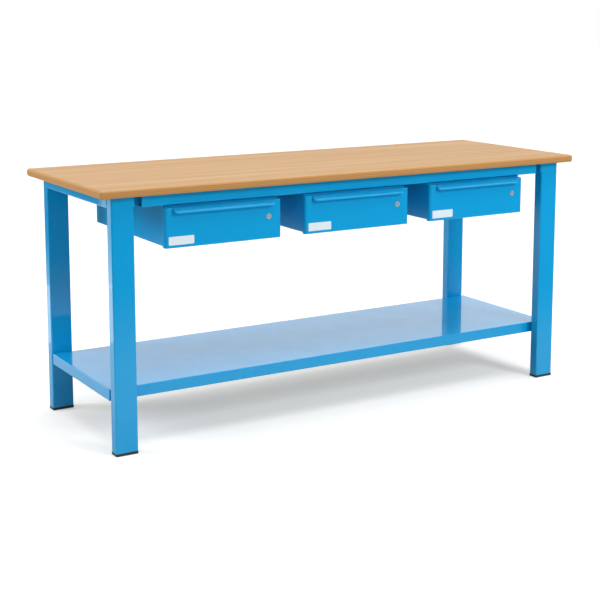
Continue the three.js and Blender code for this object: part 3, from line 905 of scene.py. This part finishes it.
def makeFrontScrews(drawer):
    low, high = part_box(f"{drawer}_front")
    trayLow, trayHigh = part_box(f"{drawer}_tray")
    middle = (low.x + high.x) / 2 + frontScrews["shiftMm"] * mm
    half = frontScrews["apartMm"] * mm / 2
    bm = bmesh.new()
    for place in (middle - half, middle + half):
        for level in (trayLow.z + frontScrews["lowMm"] * mm, trayHigh.z - frontScrews["topMm"] * mm):
            addBolt(bm, Vector((place, high.y, level)), Vector((0, 1, 0)), frontScrews["size"])
    addPiece(f"{drawer}_front_screws", bm, plated, drawer, "zinc_steel")


# Pull: a bent hood with a rim round three sides, which slopes down from the front
pullHood = {"sheetMm": 1.5, "rimMm": 7, "cornerMm": 10, "cornerSteps": 7, "footSteps": 6, "foldMm": 4,
            "foldSteps": 6, "dropMm": 11}


def makePull(drawer):
    low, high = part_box(f"{drawer}_pull")
    corner = pullHood["cornerMm"] * mm
    bm = bmesh.new()
    top = addFlatFace(bm, ((low.x, high.y, high.z), (low.x, low.y, high.z), (high.x, low.y, high.z),
                           (high.x, high.y, high.z)))
    roundCorners(bm, top[1:3], corner, pullHood["cornerSteps"])
    back = [edge for edge in bm.edges if all(vert.co.y > high.y - touch for vert in edge.verts)]
    rims = [edge for edge in bm.edges if edge not in back]
    drawEdges(bm, rims, (0, 0, -pullHood["rimMm"] * mm))
    feet = movedVerts(drawEdges(bm, back, (0, 0, low.z - high.z)))
    bmesh.ops.recalc_face_normals(bm, faces=bm.faces[:])
    folds = [edge for edge in foldEdges(bm) if edge not in back
             and all(vert.co.z > high.z - touch for vert in edge.verts)]
    roundCorners(bm, feet, corner, pullHood["footSteps"])
    roundEdges(bm, folds, pullHood["foldMm"] * mm, pullHood["foldSteps"])
    bmesh.ops.solidify(bm, geom=bm.faces[:], thickness=pullHood["sheetMm"] * mm)
    slope = pullHood["dropMm"] * mm / (high.y - low.y)
    for vert in bm.verts:
        vert.co.z -= slope * (high.y - vert.co.y)
    addPiece(f"{drawer}_grip", bm, paint, drawer, "frame_paint", f"{drawer}_pull")


# Label: a film plate stuck to the front's lower left corner
label = {"widthMm": 94, "heightMm": 29, "thickMm": 0.5, "sideMm": 14, "baseMm": 10, "cornerMm": 3,
         "rimMm": 2}


def makeLabel(drawer):
    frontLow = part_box(f"{drawer}_front")[0]
    corner = frontLow + Vector((label["sideMm"], -label["thickMm"], label["baseMm"])) * mm
    far = corner + Vector((label["widthMm"], label["thickMm"], label["heightMm"])) * mm
    bm = bmesh.new()
    addRoundFace(bm, corner, far, alongY, label["cornerMm"] * mm)
    bmesh.ops.inset_region(bm, faces=bm.faces[:], thickness=label["rimMm"] * mm, depth=0)
    drawFaces(bm, bm.faces[:], (0, label["thickMm"] * mm, 0))
    addPiece(f"{drawer}_label", bm, film, drawer, "label_film")


# Telescopic slides: three channels a side, one inside the other
slides = {"sheetMm": 1.2, "foldMm": 2.6}


def makeSlides(drawer, runners):
    for side in sides:
        for member, body in (("outer", "frame"), ("middle", runners), ("inner", drawer)):
            node = f"{drawer}_slide_{member}_{side}"
            low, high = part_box(node)
            web, mouth = (low.x, high.x) if (side == "left") != (member == "inner") else (high.x, low.x)
            bm = foldedSheet([(mouth, low.z), (web, low.z), (web, high.z), (mouth, high.z)],
                             alongY, low.y, high.y, slides["sheetMm"] * mm, slides["foldMm"] * mm)
            addPiece(f"{drawer}_runner_{member}_{side}", bm, plated, body, "zinc_steel", node)


# Lock: a round sleeve with a bevelled rim, and the plug that turns in it, slotted for the key
lock = {"steps": 48, "rimMm": 0.8, "sleeveMm": 8, "boreMm": 5.7, "plugRimMm": 0.5, "keyWideMm": 1.4,
        "keyTallMm": 7, "keyDeepMm": 6}


def makeSleeve(drawer):
    low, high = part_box(f"{drawer}_lock_sleeve")
    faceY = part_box(f"{drawer}_front")[0].y
    centre = (low + high) / 2
    flange = (high.x - low.x) / 2
    rim, sleeve, bore = lock["rimMm"] * mm, lock["sleeveMm"] * mm, lock["boreMm"] * mm
    bm = bmesh.new()
    profile = [bm.verts.new((centre.x + radius, along, centre.z)) for radius, along in (
        (bore, low.y), (flange - rim, low.y), (flange, low.y + rim), (flange, faceY), (sleeve, faceY),
        (sleeve, high.y), (bore, high.y))]
    ring = [bm.edges.new(pair) for pair in zip(profile, profile[1:] + profile[:1])]
    bmesh.ops.spin(bm, geom=profile + ring, cent=centre, axis=(0, 1, 0), angle=2 * math.pi,
                   steps=lock["steps"], use_merge=True)
    addPiece(f"{drawer}_keyhole_ring", bm, satin, drawer, "lock_chrome", f"{drawer}_lock_sleeve")


def makePlug(drawer, turning):
    low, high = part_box(f"{drawer}_lock_plug")
    radius = (high.x - low.x) / 2
    bevel = lock["plugRimMm"] * mm
    keyX, keyZ = lock["keyWideMm"] * mm / 2, lock["keyTallMm"] * mm / 2
    sleeveLow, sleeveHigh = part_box(f"{drawer}_lock_sleeve")
    centre = (sleeveLow + sleeveHigh) / 2
    centre.y = low.y
    disc = Matrix.Translation(centre) @ Matrix.Rotation(math.pi / 2, 4, "X")
    bm = bmesh.new()
    bmesh.ops.create_circle(bm, cap_ends=True, segments=lock["steps"], radius=radius - bevel, matrix=disc)
    # four cuts across the disc frame the key slot
    for axis, half in ((alongX, keyX), (alongZ, keyZ)):
        for side in (-1, 1):
            spot, across = centre.copy(), Vector((0, 0, 0))
            spot[axis] += side * half
            across[axis] = 1
            bmesh.ops.bisect_plane(bm, geom=bm.verts[:] + bm.edges[:] + bm.faces[:], plane_co=spot,
                                   plane_no=across)
    rim = [edge for edge in bm.edges if edge.is_boundary]
    for back in (bevel, high.y - low.y):
        drawn = bmesh.ops.extrude_edge_only(bm, edges=rim)
        rim = madeParts(drawn, bmesh.types.BMEdge)
        for vert in movedVerts(drawn):
            away = Vector((vert.co.x - centre.x, 0, vert.co.z - centre.z)).normalized() * radius
            vert.co = centre + Vector((0, back, 0)) + away
    bmesh.ops.edgeloop_fill(bm, edges=[edge for edge in bm.edges if edge.is_boundary])
    slot = []
    for face in bm.faces:
        off = face.calc_center_median() - centre
        if off.y < touch and abs(off.x) < keyX and abs(off.z) < keyZ:
            slot.append(face)
    drawFaces(bm, slot, (0, lock["keyDeepMm"] * mm, 0))
    bmesh.ops.delete(bm, geom=slot, context="FACES_ONLY")
    addPiece(f"{drawer}_key_plug", bm, satin, turning, "lock_chrome", f"{drawer}_lock_plug")


for number in drawerNumbers:
    drawerName = f"drawer_{number}"
    makeSlides(drawerName, f"runners_{number}")
    makeSleeve(drawerName)
    makePlug(drawerName, f"lock_{number}")
    makeHousing(drawerName)
    makeTray(drawerName)
    makeFront(drawerName)
    makeFrontScrews(drawerName)
    makePull(drawerName)
    makeLabel(drawerName)
    # the lock's cam keeps its CAD shape and takes the plated finish
    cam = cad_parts[f"drawer_{number}_lock_cam"]
    cam.data.materials.clear()
    cam.data.materials.append(plated)
print("drawers made")
